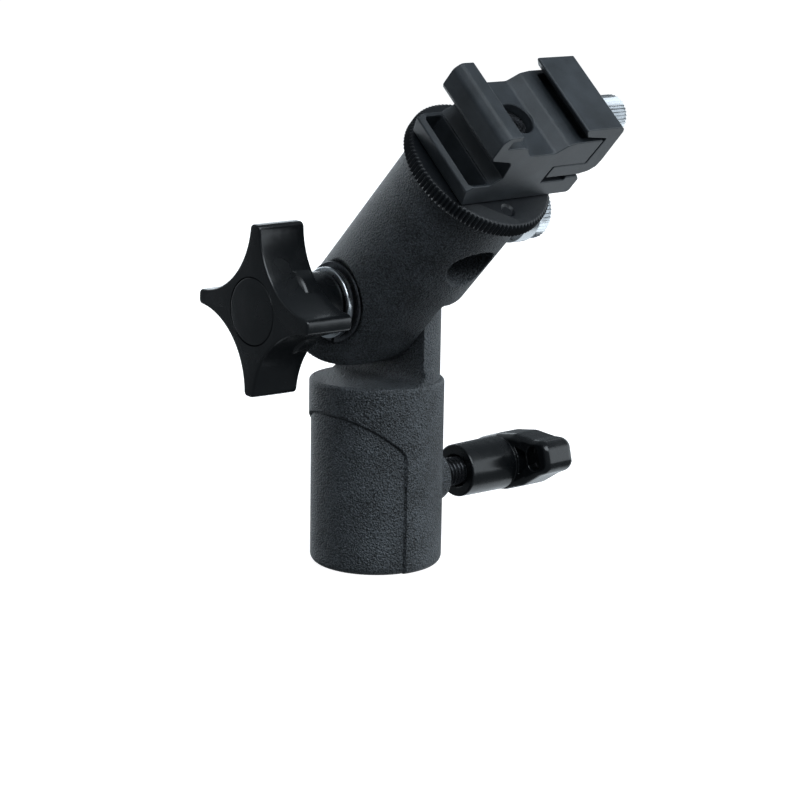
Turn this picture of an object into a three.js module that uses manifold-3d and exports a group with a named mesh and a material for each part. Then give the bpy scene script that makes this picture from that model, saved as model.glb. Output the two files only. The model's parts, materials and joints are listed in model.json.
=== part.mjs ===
// Umbrella swivel bracket, in millimetres, +Z up.
// The origin is the centre of the stud socket's mouth. X points to the clamp handle, and the head
// tilts forward, towards -Y, about the pivot bolt.
import * as THREE from 'three';
import { mergeVertices } from 'three/addons/utils/BufferGeometryUtils.js';
import Module from 'manifold-3d';

const wasm = await Module();
wasm.setup();

// ---- driving dimensions ----
const GAP = 0.3; // clearance between pieces that touch on the real bracket
const EPS = 1; // how far a cutter runs past the face that it cuts

const SOCKET_R = 13.3; // lower half of the socket, outside
const COLLAR_R = 13.7; // raised upper band of the socket
const SOCKET_H = 38.3; // mouth to the socket's top face
const SOCKET_BORE_R = 8.1; // takes a 15.9 mm stud
const SOCKET_DEPTH = 33;
const COLLAR_Z = 31; // where the raised band starts

const PIVOT_Z = 54.6; // pivot axis above the socket's mouth
const EAR_X = 1.0; // inner face of the ear
const EAR_R = 12.8; // ear outside and its round top
const HEAD_TILT = THREE.MathUtils.degToRad(45);

const HEAD_R = 13.0;
const HEAD_TOP = 37.1; // pivot axis to the head's top face
const TONGUE_X = 0.5; // flat side of the tongue, which faces the ear
const SHOULDER_Z = 13.2; // step that clears the ear
const SEAT_R = 8.8; // counterbore for the washers under the knob
const SEAT_X = -10.2; // floor of that counterbore
const UMBRELLA_Z = 25; // umbrella hole above the pivot axis
const UMBRELLA_R = 5.0;

const BOLT_R = 3.0; // M6 pivot bolt, clamp screw
const KNOB_R = 16.8; // star knob, centre to lobe tip
const KNOB_VALLEY_R = 8.6;
const KNOB_FRONT_X = -32.1;
const KNOB_LOBE_DEPTH = 10.8;
const KNOB_HUB_R = 6.3;
const KNOB_TIP_HALF = 1.1; // half a lobe's width at its tip
const KNOB_TURN = 3.5; // degrees that the lobes are turned from upright

const CLAMP_Z = 15.2; // clamp screw axis above the mouth
const BOSS_R = 5.3;
const BOSS_END_X = 17;
const HANDLE_X = 22.5; // hub end that faces the socket
const HANDLE_HUB_R = 5.6;
const WING_X = 33.5; // hub meets wing
const WING_BACK_X = 44;
const WING_SPAN = 14.6; // clamp axis to wing tip
const WING_TURN = THREE.MathUtils.degToRad(14); // near tip above level

const DISC_R = 15.3;
const DISC_TEETH = 96;
const DISC_Z0 = HEAD_TOP + GAP;
const DISC_Z1 = 40.7;
const QUARTER_INCH_R = 3.17;

const SHOE_Z = DISC_Z1 + GAP; // underside of the shoe above the pivot axis
const SHOE_LENGTH = 18;
const SHOE_SWIVEL = THREE.MathUtils.degToRad(2);
const JAW_SCREW_Z = 10.9; // above the underside of the shoe
const JAW_SCREW_R = 1.5;
const JAW_HEAD_R = 4.0;

// ---- finishes ----
const material = (color, roughness, metalness) =>
  new THREE.MeshStandardMaterial({ color, roughness, metalness });
const casting = material(0x24272a, 0.62, 0.3);
const glossPlastic = material(0x0b0c0d, 0.28, 0);
const satinBlack = material(0x1b1d21, 0.42, 0.45);
const blackSteel = material(0x141517, 0.38, 0.8);
const brightSteel = material(0xb9bcc0, 0.28, 1);
const brass = material(0xb8934e, 0.35, 1);
const fibre = material(0x5a1f18, 0.8, 0);

// ---- solids ----
function solidOf(geometry) {
  let plain = geometry.index ? geometry.toNonIndexed() : geometry.clone();
  plain.deleteAttribute('normal');
  plain.deleteAttribute('uv');
  plain = mergeVertices(plain, 1e-4);
  const index = plain.index.array;
  const kept = [];
  for (let i = 0; i < index.length; i += 3) {
    const [a, b, c] = [index[i], index[i + 1], index[i + 2]];
    if (a !== b && b !== c && a !== c) kept.push(a, b, c);
  }
  return new wasm.Manifold(new wasm.Mesh({
    numProp: 3,
    vertProperties: new Float32Array(plain.attributes.position.array),
    triVerts: new Uint32Array(kept),
  }));
}

const cut = (solid, ...cutters) => cutters.reduce((a, b) => a.subtract(b), solid);
const join = (solid, ...others) => others.reduce((a, b) => a.add(b), solid);

function box(x0, x1, y0, y1, z0, z1) {
  const shape = new THREE.BoxGeometry(x1 - x0, y1 - y0, z1 - z0);
  return solidOf(shape.translate((x0 + x1) / 2, (y0 + y1) / 2, (z0 + z1) / 2));
}

// A body of revolution about Z. The profile is a list of [radius, height] that closes on itself or
// ends on the axis, listed from bottom to top on the outside.
function turned(profile, segments = 64) {
  const points = profile.map(([r, z]) => new THREE.Vector2(r, z));
  return solidOf(new THREE.LatheGeometry(points, segments).rotateX(Math.PI / 2));
}

function rod(radius, z0, z1, segments = 64, chamfer = 0) {
  const profile = [[0, z0], [radius - chamfer, z0]];
  if (chamfer > 0) profile.push([radius, z0 + chamfer], [radius, z1 - chamfer]);
  profile.push([radius - chamfer, z1], [0, z1]);
  return turned(profile, segments);
}

function ring(inner, outer, z0, z1, segments = 64) {
  return turned([[inner, z0], [outer, z0], [outer, z1], [inner, z1], [inner, z0]], segments);
}

// Turns a solid made along +Z so that it lies along +X, at the given height.
const alongX = (solid, z = 0) => solid.rotate([0, 90, 0]).translate([0, 0, z]);
// Turns a solid made along +Z so that it lies along -Y.
const alongFront = (solid, z = 0) => solid.rotate([90, 0, 0]).translate([0, 0, z]);

function extruded(shape, depth, curveSegments = 12) {
  return solidOf(new THREE.ExtrudeGeometry(shape, { depth, bevelEnabled: false, curveSegments }));
}

// Extrudes a closed outline given in (x, z) along Y, from y0 to y1.
function barAlongY(outline, y0, y1) {
  const shape = new THREE.Shape(outline.map(([x, z]) => new THREE.Vector2(x, z)));
  return extruded(shape, y1 - y0).rotate([90, 0, 0]).translate([0, y1, 0]);
}

function regularPolygon(sides, acrossFlats) {
  const radius = acrossFlats / 2 / Math.cos(Math.PI / sides);
  const corner = (i) => new THREE.Vector2().set(
    radius * Math.cos((i * 2 * Math.PI) / sides),
    radius * Math.sin((i * 2 * Math.PI) / sides),
  );
  return new THREE.Shape(Array.from({ length: sides }, (_, i) => corner(i)));
}

// A gear-like outline for a knurled rim.
function knurledOutline(radius, teeth, depth) {
  const points = Array.from({ length: teeth * 2 }, (_, i) => {
    const r = i % 2 ? radius - depth : radius;
    const a = (i * Math.PI) / teeth;
    return new THREE.Vector2(r * Math.cos(a), r * Math.sin(a));
  });
  return new THREE.Shape(points);
}

// ---- scene graph ----
const bracket = new THREE.Group();
const head = new THREE.Group(); // pivot at its origin, Z along the head
head.position.z = PIVOT_Z;
head.rotation.x = HEAD_TILT;
const shoe = new THREE.Group(); // underside of the shoe at its origin
shoe.position.z = SHOE_Z;
shoe.rotation.z = SHOE_SWIVEL;
head.add(shoe);
bracket.add(head);

function addPart(parent, name, solid, finish) {
  const { numProp, vertProperties, triVerts } = solid.getMesh();
  const geometry = new THREE.BufferGeometry();
  const position = new Float32Array((vertProperties.length / numProp) * 3);
  for (let i = 0; i < position.length / 3; i += 1) {
    for (let k = 0; k < 3; k += 1) position[i * 3 + k] = vertProperties[i * numProp + k];
  }
  geometry.setAttribute('position', new THREE.BufferAttribute(position, 3));
  geometry.setIndex(new THREE.BufferAttribute(new Uint32Array(triVerts), 1));
  const mesh = new THREE.Mesh(geometry, finish);
  mesh.name = name;
  parent.add(mesh);
  return mesh;
}

// ---- socket casting with its ear and clamp boss ----
function socketBody() {
  const outside = turned([
    [0, 0], [SOCKET_R - 1.4, 0], [SOCKET_R - 0.5, 0.4], [SOCKET_R, 1.4],
    [SOCKET_R, COLLAR_Z], [COLLAR_R, COLLAR_Z + 0.5],
    [COLLAR_R, SOCKET_H - 0.9], [COLLAR_R - 0.9, SOCKET_H], [0, SOCKET_H],
  ], 56);
  const earSide = new THREE.Shape();
  earSide.moveTo(-EAR_R, SOCKET_H - 3);
  earSide.lineTo(-EAR_R, PIVOT_Z);
  earSide.absarc(0, PIVOT_Z, EAR_R, Math.PI, 0, true);
  earSide.lineTo(EAR_R, SOCKET_H - 3);
  // The outline is drawn in (Y, Z) and pushed out along X.
  const earBlank = extruded(earSide, COLLAR_R, 20)
    .rotate([90, 0, 0]).rotate([0, 0, 90]).translate([EAR_X, 0, 0]);
  const ear = earBlank.intersect(rod(EAR_R, 0, PIVOT_Z + 2 * EAR_R, 56));
  const boss = alongX(rod(BOSS_R, SOCKET_BORE_R + 2, BOSS_END_X, 32, 0.8), CLAMP_Z);
  const bore = turned([
    [0, -EPS], [SOCKET_BORE_R + 0.8 + EPS, -EPS], [SOCKET_BORE_R, 0.8],
    [SOCKET_BORE_R, SOCKET_DEPTH - 1], [SOCKET_BORE_R - 1, SOCKET_DEPTH], [0, SOCKET_DEPTH],
  ], 48);
  const clampHole = alongX(rod(BOLT_R + GAP, 0, BOSS_END_X + EPS, 24), CLAMP_Z);
  const boltHole = alongX(rod(BOLT_R + GAP, 0, COLLAR_R + EPS, 24), PIVOT_Z);
  const washerSeat = alongX(rod(8.2, EAR_X - EPS, EAR_X + 1.4, 32), PIVOT_Z);
  const hexPocket = alongX(extruded(regularPolygon(6, 10.4), 6), PIVOT_Z).translate([8.4, 0, 0]);
  return cut(join(outside, ear, boss), bore, clampHole, boltHole, washerSeat, hexPocket);
}
addPart(bracket, 'socket_body', socketBody(), casting);

// ---- clamp screw, its handle and pad ----
const padFace = SOCKET_BORE_R + 0.1;
const padBack = padFace + 1.5;
const clampPad = alongX(rod(BOLT_R - 0.1, padFace, padBack, 24, 0.3), CLAMP_Z);
addPart(bracket, 'clamp_pad', clampPad, brass);
const clampScrew = alongX(rod(BOLT_R, padBack + GAP, WING_X + 2, 24, 0.4), CLAMP_Z);
addPart(bracket, 'clamp_screw', clampScrew, blackSteel);

function clampHandle() {
  const hub = alongX(turned([
    [0, HANDLE_X], [HANDLE_HUB_R - 0.4, HANDLE_X], [HANDLE_HUB_R, HANDLE_X + 0.4],
    [HANDLE_HUB_R + 0.2, WING_X + 1], [0, WING_X + 1],
  ], 36));
  // The wing is where its plan, in (X, span), meets its end view, in (span, height).
  const plan = new THREE.Shape();
  const shoulder = HANDLE_HUB_R + 0.4;
  plan.moveTo(WING_X, -shoulder);
  plan.bezierCurveTo(WING_X + 4, -7, WING_X + 4, -11, WING_X + 2.2, -WING_SPAN + 1.6);
  plan.quadraticCurveTo(WING_X + 2.2, -WING_SPAN, WING_X + 4.2, -WING_SPAN);
  plan.lineTo(WING_BACK_X - 2, -WING_SPAN);
  plan.quadraticCurveTo(WING_BACK_X, -WING_SPAN, WING_BACK_X, -WING_SPAN + 2);
  plan.quadraticCurveTo(WING_BACK_X - 1.6, 0, WING_BACK_X, WING_SPAN - 2);
  plan.quadraticCurveTo(WING_BACK_X, WING_SPAN, WING_BACK_X - 2, WING_SPAN);
  plan.lineTo(WING_X + 4.2, WING_SPAN);
  plan.quadraticCurveTo(WING_X + 2.2, WING_SPAN, WING_X + 2.2, WING_SPAN - 1.6);
  plan.bezierCurveTo(WING_X + 4, 11, WING_X + 4, 7, WING_X, shoulder);
  const slab = extruded(plan, 2 * shoulder, 8).translate([0, 0, -shoulder]);
  const endView = new THREE.Shape();
  endView.moveTo(-WING_SPAN - EPS, -3);
  endView.quadraticCurveTo(-6, -5.2, 0, -shoulder);
  endView.quadraticCurveTo(6, -5.2, WING_SPAN + EPS, -3);
  endView.lineTo(WING_SPAN + EPS, 3);
  endView.quadraticCurveTo(6, 5.2, 0, shoulder);
  endView.quadraticCurveTo(-6, 5.2, -WING_SPAN - EPS, 3);
  const heightLimit = extruded(endView, WING_BACK_X, 10).rotate([90, 0, 0]).rotate([0, 0, 90]);
  const bore = alongX(rod(BOLT_R + GAP, HANDLE_X - EPS, WING_X + 2 + GAP, 24));
  const blank = cut(join(hub, slab.intersect(heightLimit)), bore);
  return blank.rotate([THREE.MathUtils.radToDeg(-WING_TURN), 0, 0]).translate([0, 0, CLAMP_Z]);
}
addPart(bracket, 'clamp_handle', clampHandle(), glossPlastic);

// ---- pivot bolt and its washers ----
function pivotBolt() {
  const hex = alongX(extruded(regularPolygon(6, 10), 4)).translate([8.6, 0, 0]);
  const shank = alongX(rod(BOLT_R, -28, 9, 24));
  return join(hex, shank).translate([0, 0, PIVOT_Z]);
}
addPart(bracket, 'pivot_bolt', pivotBolt(), blackSteel);
const boltClear = BOLT_R + GAP;
const frictionWasher = alongX(ring(boltClear, 7.8, EAR_X - 0.2, EAR_X + 1.1, 32), PIVOT_Z);
addPart(bracket, 'friction_washer', frictionWasher, fibre);
const springWasher = alongX(turned([
  [boltClear, -11.0], [8.0, -11.9], [8.0, -11.3], [boltClear, -10.4], [boltClear, -11.0],
], 36), PIVOT_Z);
addPart(bracket, 'spring_washer', springWasher, blackSteel);
const flatWasher = alongX(ring(boltClear, 7.05, -13.9, -12.3, 36), PIVOT_Z);
addPart(bracket, 'flat_washer', flatWasher, brightSteel);

// ---- star knob ----
const knobHubEnd = -14.2;
const insertEnds = [-28, -15];
const capDepth = 1.2;

// Four lobes. Each flank, from one lobe's tip to the next, is one arc about a centre on the diagonal
// between them, which is as far from both tips as from the valley.
function starOutline() {
  const valley = KNOB_VALLEY_R / Math.SQRT2;
  const reach = KNOB_R + KNOB_TIP_HALF;
  const tipSquared = KNOB_R ** 2 + KNOB_TIP_HALF ** 2;
  const centre = (tipSquared - 2 * valley ** 2) / (2 * reach - 4 * valley);
  const radius = Math.SQRT2 * (centre - valley);
  const leaves = Math.atan2(KNOB_TIP_HALF - centre, KNOB_R - centre);
  const arrives = Math.atan2(KNOB_R - centre, KNOB_TIP_HALF - centre);
  const star = new THREE.Shape();
  for (let i = 0; i < 4; i += 1) {
    const turn = (i * Math.PI) / 2;
    const middle = new THREE.Vector2(centre, centre).rotateAround(new THREE.Vector2(), turn);
    star.absarc(middle.x, middle.y, radius, leaves + turn, arrives + turn, true);
  }
  return star;
}

function starKnob() {
  const lobes = extruded(starOutline(), KNOB_LOBE_DEPTH, 20)
    .rotate([90, 0, 0]).rotate([0, 0, 90]).rotate([KNOB_TURN, 0, 0]).translate([KNOB_FRONT_X, 0, 0]);
  const hub = alongX(rod(KNOB_HUB_R, KNOB_FRONT_X + 3, knobHubEnd, 36, 0.4));
  const insertHole = alongX(rod(4.8 + GAP, insertEnds[0] - GAP, knobHubEnd + EPS, 28));
  const capSeat = alongX(rod(7.1 + GAP, KNOB_FRONT_X - EPS, KNOB_FRONT_X + capDepth + GAP, 36));
  return cut(join(lobes, hub), insertHole, capSeat).translate([0, 0, PIVOT_Z]);
}
addPart(bracket, 'star_knob', starKnob(), glossPlastic);
const knobInsert = alongX(ring(boltClear, 4.8, insertEnds[0], insertEnds[1], 28), PIVOT_Z);
addPart(bracket, 'knob_insert', knobInsert, brass);
const knobCap = alongX(rod(7.1, KNOB_FRONT_X, KNOB_FRONT_X + capDepth, 36, 0.2), PIVOT_Z);
addPart(bracket, 'knob_cap', knobCap, glossPlastic);

// ---- tilting head ----
function headBody() {
  const column = turned([
    [0, -HEAD_R], [HEAD_R, -HEAD_R], [HEAD_R, HEAD_TOP - 0.6], [HEAD_R - 0.6, HEAD_TOP],
    [0, HEAD_TOP],
  ], 56);
  const roundEnd = alongX(rod(HEAD_R, -HEAD_R - EPS, HEAD_R + EPS, 56));
  const upper = box(-HEAD_R - EPS, HEAD_R + EPS, -HEAD_R - EPS, HEAD_R + EPS, 0, HEAD_TOP + EPS);
  const blank = column.intersect(join(roundEnd, upper));
  const wide = HEAD_R + EPS;
  const earClearance = box(TONGUE_X, wide, -wide, wide, -wide, SHOULDER_Z);
  const seat = alongX(rod(SEAT_R, -HEAD_R - EPS, SEAT_X, 40));
  const boltHole = alongX(rod(boltClear, -wide, wide, 24));
  const umbrellaHole = alongFront(rod(UMBRELLA_R, -wide, wide, 36), UMBRELLA_Z);
  const mouth = turned([
    [0, wide], [UMBRELLA_R + 1.6, wide], [UMBRELLA_R, HEAD_R - 1.2], [0, HEAD_R - 1.2],
  ].reverse(), 36);
  const frontMouth = alongFront(mouth, UMBRELLA_Z);
  const backMouth = alongFront(mouth.rotate([180, 0, 0]), UMBRELLA_Z);
  const screwHole = alongX(rod(2.5 + GAP, 0, wide, 24), UMBRELLA_Z);
  const studHole = rod(QUARTER_INCH_R + GAP, UMBRELLA_Z + UMBRELLA_R + 1, HEAD_TOP + EPS, 24);
  const grubHole = alongFront(rod(1.5 + GAP, -wide, 0, 16), 34.2);
  return cut(blank, earClearance, seat, boltHole, umbrellaHole, frontMouth, backMouth,
    screwHole, studHole, grubHole);
}
addPart(head, 'head_body', headBody(), casting);

// ---- umbrella lock screw ----
const umbrellaPad = alongX(rod(2.4, UMBRELLA_R + 0.1, UMBRELLA_R + 1.6, 24, 0.3), UMBRELLA_Z);
addPart(head, 'umbrella_pad', umbrellaPad, brass);
function umbrellaScrew() {
  const shank = rod(2.5, UMBRELLA_R + 1.6 + GAP, 20, 24);
  const flange = rod(6.3, 17, 22.1, 36, 0.4);
  const grip = extruded(knurledOutline(5.9, 40, 0.35), 3.4).translate([0, 0, 22]);
  return alongX(join(shank, flange, grip), UMBRELLA_Z);
}
addPart(head, 'umbrella_screw', umbrellaScrew(), brightSteel);

// ---- top stud, its lock disc and grub screw ----
const studTop = SHOE_Z + 11.2;
const topStud = rod(QUARTER_INCH_R, UMBRELLA_Z + UMBRELLA_R + 1 + GAP, studTop, 24, 0.5);
addPart(head, 'top_stud', topStud, blackSteel);
const grubFrom = QUARTER_INCH_R + GAP;
const grubScrew = alongFront(rod(1.5, -grubFrom - 4, -grubFrom, 16, 0.2), 34.2);
addPart(head, 'stud_grub_screw', grubScrew, blackSteel);
function lockDisc() {
  const rim = extruded(knurledOutline(DISC_R, DISC_TEETH, 0.35), DISC_Z1 - DISC_Z0);
  return cut(rim.translate([0, 0, DISC_Z0]), rod(grubFrom, DISC_Z0 - EPS, DISC_Z1 + EPS, 24));
}
addPart(head, 'lock_disc', lockDisc(), satinBlack);

// ---- hot shoe: heights are above its underside, x across the slot, y along it ----
const half = SHOE_LENGTH / 2;
const JAW_WALL_X = 15.1; // inner face of the sliding jaw's wall
const TONGUE_TOP = 8.5;
const TONGUE_END_X = 6.3;
const CLIP_R = 2.1; // ring that keeps the jaw screw in the jaw
const CLIP_X = 14.1;
const CLIP_T = 0.6;

function shoeBody() {
  const outline = [
    [-12.0, 0], [16.4, 0], [16.9, 0.5], [16.8, 3.8], [15.8, 4.8], [12.6, 4.8], [13.0, 3.2],
    [TONGUE_END_X - GAP, 3.2], [TONGUE_END_X - GAP, TONGUE_TOP + GAP],
    [JAW_WALL_X - GAP, TONGUE_TOP + GAP], [JAW_WALL_X - GAP, 14.9], [14.4, 15.2],
    [8.0, 15.0], [6.0, 14.6], [3.6, 12.5],
    [-3.4, 12.5], [-5.2, 14.6], [-6.6, 15.1], [-11.0, 15.1], [-11.0, 17.2], [-9.0, 17.2],
    [-9.0, 18.3], [-11.6, 18.3], [-12.6, 17.6], [-13.2, 16.4], [-13.2, 12.9], [-12.7, 12.1],
    [-6.9, 11.0], [-6.2, 6.8], [-8.0, 4.9], [-12.6, 4.9], [-13.6, 3.9],
  ];
  const bar = barAlongY(outline, -half, half);
  const endLand = 1;
  const leftPocket = box(-12.2, -8, -half + endLand, half - endLand, 0.9, 6);
  const rightPocket = box(9.2, 13.6, -half + endLand, half - endLand, 13, 16);
  const studHole = rod(QUARTER_INCH_R + GAP, -EPS, 14, 24);
  const screwHole = alongX(rod(JAW_SCREW_R + GAP, 4.4, JAW_WALL_X + EPS, 24), JAW_SCREW_Z);
  const clipRecess = alongX(rod(CLIP_R + GAP, CLIP_X - GAP, JAW_WALL_X, 24), JAW_SCREW_Z);
  return cut(bar, leftPocket, rightPocket, studHole, screwHole, clipRecess);
}
addPart(shoe, 'shoe_body', shoeBody(), satinBlack);

function shoeJaw() {
  const outline = [
    [TONGUE_END_X, 5.4], [15.6, 5.4], [17.8, 6.0], [19.1, 7.2], [19.3, 9.0], [18.7, 17.2],
    [18.3, 17.9], [17.4, 18.5], [7.4, 18.5], [9.3, 16.4], [JAW_WALL_X, 15.6],
    [JAW_WALL_X, TONGUE_TOP], [TONGUE_END_X, TONGUE_TOP],
  ];
  const bar = barAlongY(outline, -half, half);
  return cut(bar, alongX(rod(JAW_SCREW_R + GAP, 14, 21, 24), JAW_SCREW_Z));
}
addPart(shoe, 'shoe_jaw', shoeJaw(), satinBlack);

function jawScrew() {
  const neck = 1.05;
  const shank = turned([
    [0, 4.8], [JAW_SCREW_R, 4.8], [JAW_SCREW_R, CLIP_X - 0.1], [neck, CLIP_X - 0.1],
    [neck, CLIP_X + CLIP_T + 0.1], [JAW_SCREW_R, CLIP_X + CLIP_T + 0.1], [JAW_SCREW_R, 20],
    [2.8, 20], [2.8, 21.2], [0, 21.2],
  ], 24);
  const grip = extruded(knurledOutline(JAW_HEAD_R, 30, 0.3), 7).translate([0, 0, 21]);
  const slot = box(-JAW_HEAD_R - EPS, JAW_HEAD_R + EPS, -0.6, 0.6, 26.6, 29);
  return alongX(cut(join(shank, grip), slot), JAW_SCREW_Z);
}
addPart(shoe, 'jaw_screw', jawScrew(), brightSteel);
const jawClip = alongX(ring(1.35, CLIP_R, CLIP_X, CLIP_X + CLIP_T, 24), JAW_SCREW_Z);
addPart(shoe, 'jaw_clip', jawClip, blackSteel);

export default bracket;
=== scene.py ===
"""Looks of the umbrella swivel bracket, built around its CAD frame.

Pieces are drawn in millimetres in the frame they belong to (base, head or shoe) and then placed in
the row frame, in metres.
"""
import json
import math

import bmesh
import bpy
from mathutils import Matrix, Vector


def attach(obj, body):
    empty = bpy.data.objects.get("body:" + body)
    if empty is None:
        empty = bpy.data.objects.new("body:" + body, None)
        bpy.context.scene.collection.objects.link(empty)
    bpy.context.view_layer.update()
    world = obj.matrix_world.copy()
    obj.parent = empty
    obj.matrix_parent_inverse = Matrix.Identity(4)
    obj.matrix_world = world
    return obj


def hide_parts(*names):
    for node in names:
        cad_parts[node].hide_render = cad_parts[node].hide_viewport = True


MM = 0.001
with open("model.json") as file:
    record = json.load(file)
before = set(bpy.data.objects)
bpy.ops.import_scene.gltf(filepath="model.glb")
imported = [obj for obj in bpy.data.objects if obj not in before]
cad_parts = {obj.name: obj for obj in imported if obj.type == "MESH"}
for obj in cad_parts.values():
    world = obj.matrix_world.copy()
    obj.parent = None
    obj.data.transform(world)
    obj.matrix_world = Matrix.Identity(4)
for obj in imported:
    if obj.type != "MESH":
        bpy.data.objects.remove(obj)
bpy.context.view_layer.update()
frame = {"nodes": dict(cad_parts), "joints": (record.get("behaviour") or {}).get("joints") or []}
joints = {joint["name"]: joint for joint in frame["joints"]}


# ---- the three drawing frames, in millimetres ----
def drawing_frame(origin, x_axis, z_axis):
    """The matrix that takes millimetres in a local frame to metres in the row frame."""
    z = Vector(z_axis).normalized()
    x = Vector(x_axis).normalized()
    y = z.cross(x)
    turn = Matrix((x, y, z)).transposed().to_4x4()
    return Matrix.Translation(origin) @ turn @ Matrix.Scale(MM, 4)


def row_point(joint):
    return Vector(joints[joint]["pos_m"])


def row_axis(joint):
    return Vector(joints[joint]["axis"])


PIVOT = row_point("head_tilt")
BASE = Matrix.Scale(MM, 4)
HEAD = drawing_frame(PIVOT, (1, 0, 0), row_axis("disc_turn"))
SHOE = drawing_frame(row_point("shoe_swivel"), row_axis("jaw_slide"), row_axis("shoe_swivel"))


def extent(node, place):
    """Lowest and highest corner of a CAD node in a drawing frame, in millimetres."""
    back = place.inverted()
    corners = [back @ v.co for v in frame["nodes"][node].data.vertices]
    low = Vector(min(c[i] for c in corners) for i in range(3))
    high = Vector(max(c[i] for c in corners) for i in range(3))
    return low, high


# ---- outlines ----
def rounded(points, steps=5, closed=True):
    """Rounds the corners of an outline of (a, b, radius) points, where radius may be left out."""
    result = []
    count = len(points)
    for i, corner in enumerate(points):
        here = Vector(corner[:2])
        radius = corner[2] if len(corner) > 2 else 0
        inner = closed or 0 < i < count - 1
        if radius <= 0 or not inner:
            result.append(tuple(here))
            continue
        back = (Vector(points[i - 1][:2]) - here).normalized()
        ahead = (Vector(points[(i + 1) % count][:2]) - here).normalized()
        half = back.angle(ahead) / 2
        reach = radius / math.tan(half)
        centre = here + (back + ahead).normalized() * (radius / math.sin(half))
        start = here + back * reach - centre
        end = here + ahead * reach - centre
        sweep = start.angle_signed(end) if start.length > 0 else 0
        for k in range(steps + 1):
            arm = start.copy()
            arm.rotate(Matrix.Rotation(-sweep * k / steps, 2))
            result.append(tuple(centre + arm))
    return result


def circle(radius, count=96, centre=(0, 0)):
    step = 2 * math.pi / count
    return [
        (centre[0] + radius * math.cos(i * step), centre[1] + radius * math.sin(i * step))
        for i in range(count)
    ]


def arc(centre, radius, start, end, count=12):
    """Points along an arc, its angles in degrees."""
    points = []
    for i in range(count + 1):
        angle = math.radians(start + (end - start) * i / count)
        points.append((centre[0] + radius * math.cos(angle), centre[1] + radius * math.sin(angle)))
    return points


def polygon(sides, across_flats, turn=0.0):
    radius = across_flats / 2 / math.cos(math.pi / sides)
    angles = [turn + 2 * math.pi * i / sides for i in range(sides)]
    return [(radius * math.cos(a), radius * math.sin(a)) for a in angles]


# ---- meshes ----
def new_piece(name, vertices, faces):
    mesh = bpy.data.meshes.new(name)
    mesh.from_pydata(vertices, [], faces)
    mesh.validate()
    work = bmesh.new()
    work.from_mesh(mesh)
    bmesh.ops.remove_doubles(work, verts=work.verts, dist=1e-5)
    bmesh.ops.recalc_face_normals(work, faces=work.faces)
    work.to_mesh(mesh)
    work.free()
    piece = bpy.data.objects.new(name, mesh)
    bpy.context.scene.collection.objects.link(piece)
    return piece


def grid_faces(rings, wrap=True):
    """Quads between rings of vertex numbers, with triangles where a ring is a single point."""
    faces = []
    for low, high in zip(rings, rings[1:]):
        count = max(len(low), len(high))
        for i in range(count if wrap else count - 1):
            j = (i + 1) % count
            quad = [low[i % len(low)], low[j % len(low)], high[j % len(high)], high[i % len(high)]]
            face = list(dict.fromkeys(quad))
            if len(face) > 2:
                faces.append(face)
    return faces


def lathe(name, profile, segments=128, closed=False):
    """A body of revolution about Z from (radius, height) points that start and end on the axis."""
    vertices = []
    rings = []
    for radius, height in profile:
        if radius < 1e-6:
            rings.append([len(vertices)])
            vertices.append((0, 0, height))
            continue
        rings.append(list(range(len(vertices), len(vertices) + segments)))
        vertices += [(x, y, height) for x, y in circle(radius, segments)]
    if closed:
        rings.append(rings[0])
    return new_piece(name, vertices, grid_faces(rings))


def inset(outline, distance):
    """Moves a closed outline inwards along its corner normals. The outline runs anticlockwise."""
    result = []
    count = len(outline)
    for i, point in enumerate(outline):
        before = (Vector(point) - Vector(outline[i - 1])).normalized()
        after = (Vector(outline[(i + 1) % count]) - Vector(point)).normalized()
        normal = Vector((-before.y - after.y, before.x + after.x)).normalized()
        mitre = max(0.35, normal.dot(Vector((-before.y, before.x))))
        result.append(tuple(Vector(point) + normal * (distance / mitre)))
    return result


def stack(name, layers):
    """Joins outlines of equal length at rising heights, (outline, height), and caps both ends."""
    vertices = []
    rings = []
    for outline, height in layers:
        rings.append(list(range(len(vertices), len(vertices) + len(outline))))
        vertices += [(x, y, height) for x, y in outline]
    faces = grid_faces(rings)
    return new_piece(name, vertices, faces + [rings[0][::-1], rings[-1]])


def quarter(steps):
    """Evenly spaced angles from 0 to 90 degrees, in radians."""
    return [math.pi / 2 * k / steps for k in range(steps + 1)]


def prism(name, outline, low, high, edge=0.0, steps=4):
    """Pushes a closed outline along Z from low to high, with both rims rounded."""
    if edge <= 0:
        return stack(name, [(outline, low), (outline, high)])
    layers = [
        (inset(outline, edge * (1 - math.sin(a))), low + edge * (1 - math.cos(a)))
        for a in quarter(steps)
    ]
    layers += [
        (inset(outline, edge * (1 - math.cos(a))), high - edge * (1 - math.sin(a)))
        for a in quarter(steps)
    ]
    return stack(name, layers)


def cylinder(radius, low, high, segments=96):
    return prism("cutter", circle(radius, segments), low, high)


def block(x0, x1, y0, y1, z0, z1):
    return prism("cutter", [(x0, y0), (x1, y0), (x1, y1), (x0, y1)], z0, z1)


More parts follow.
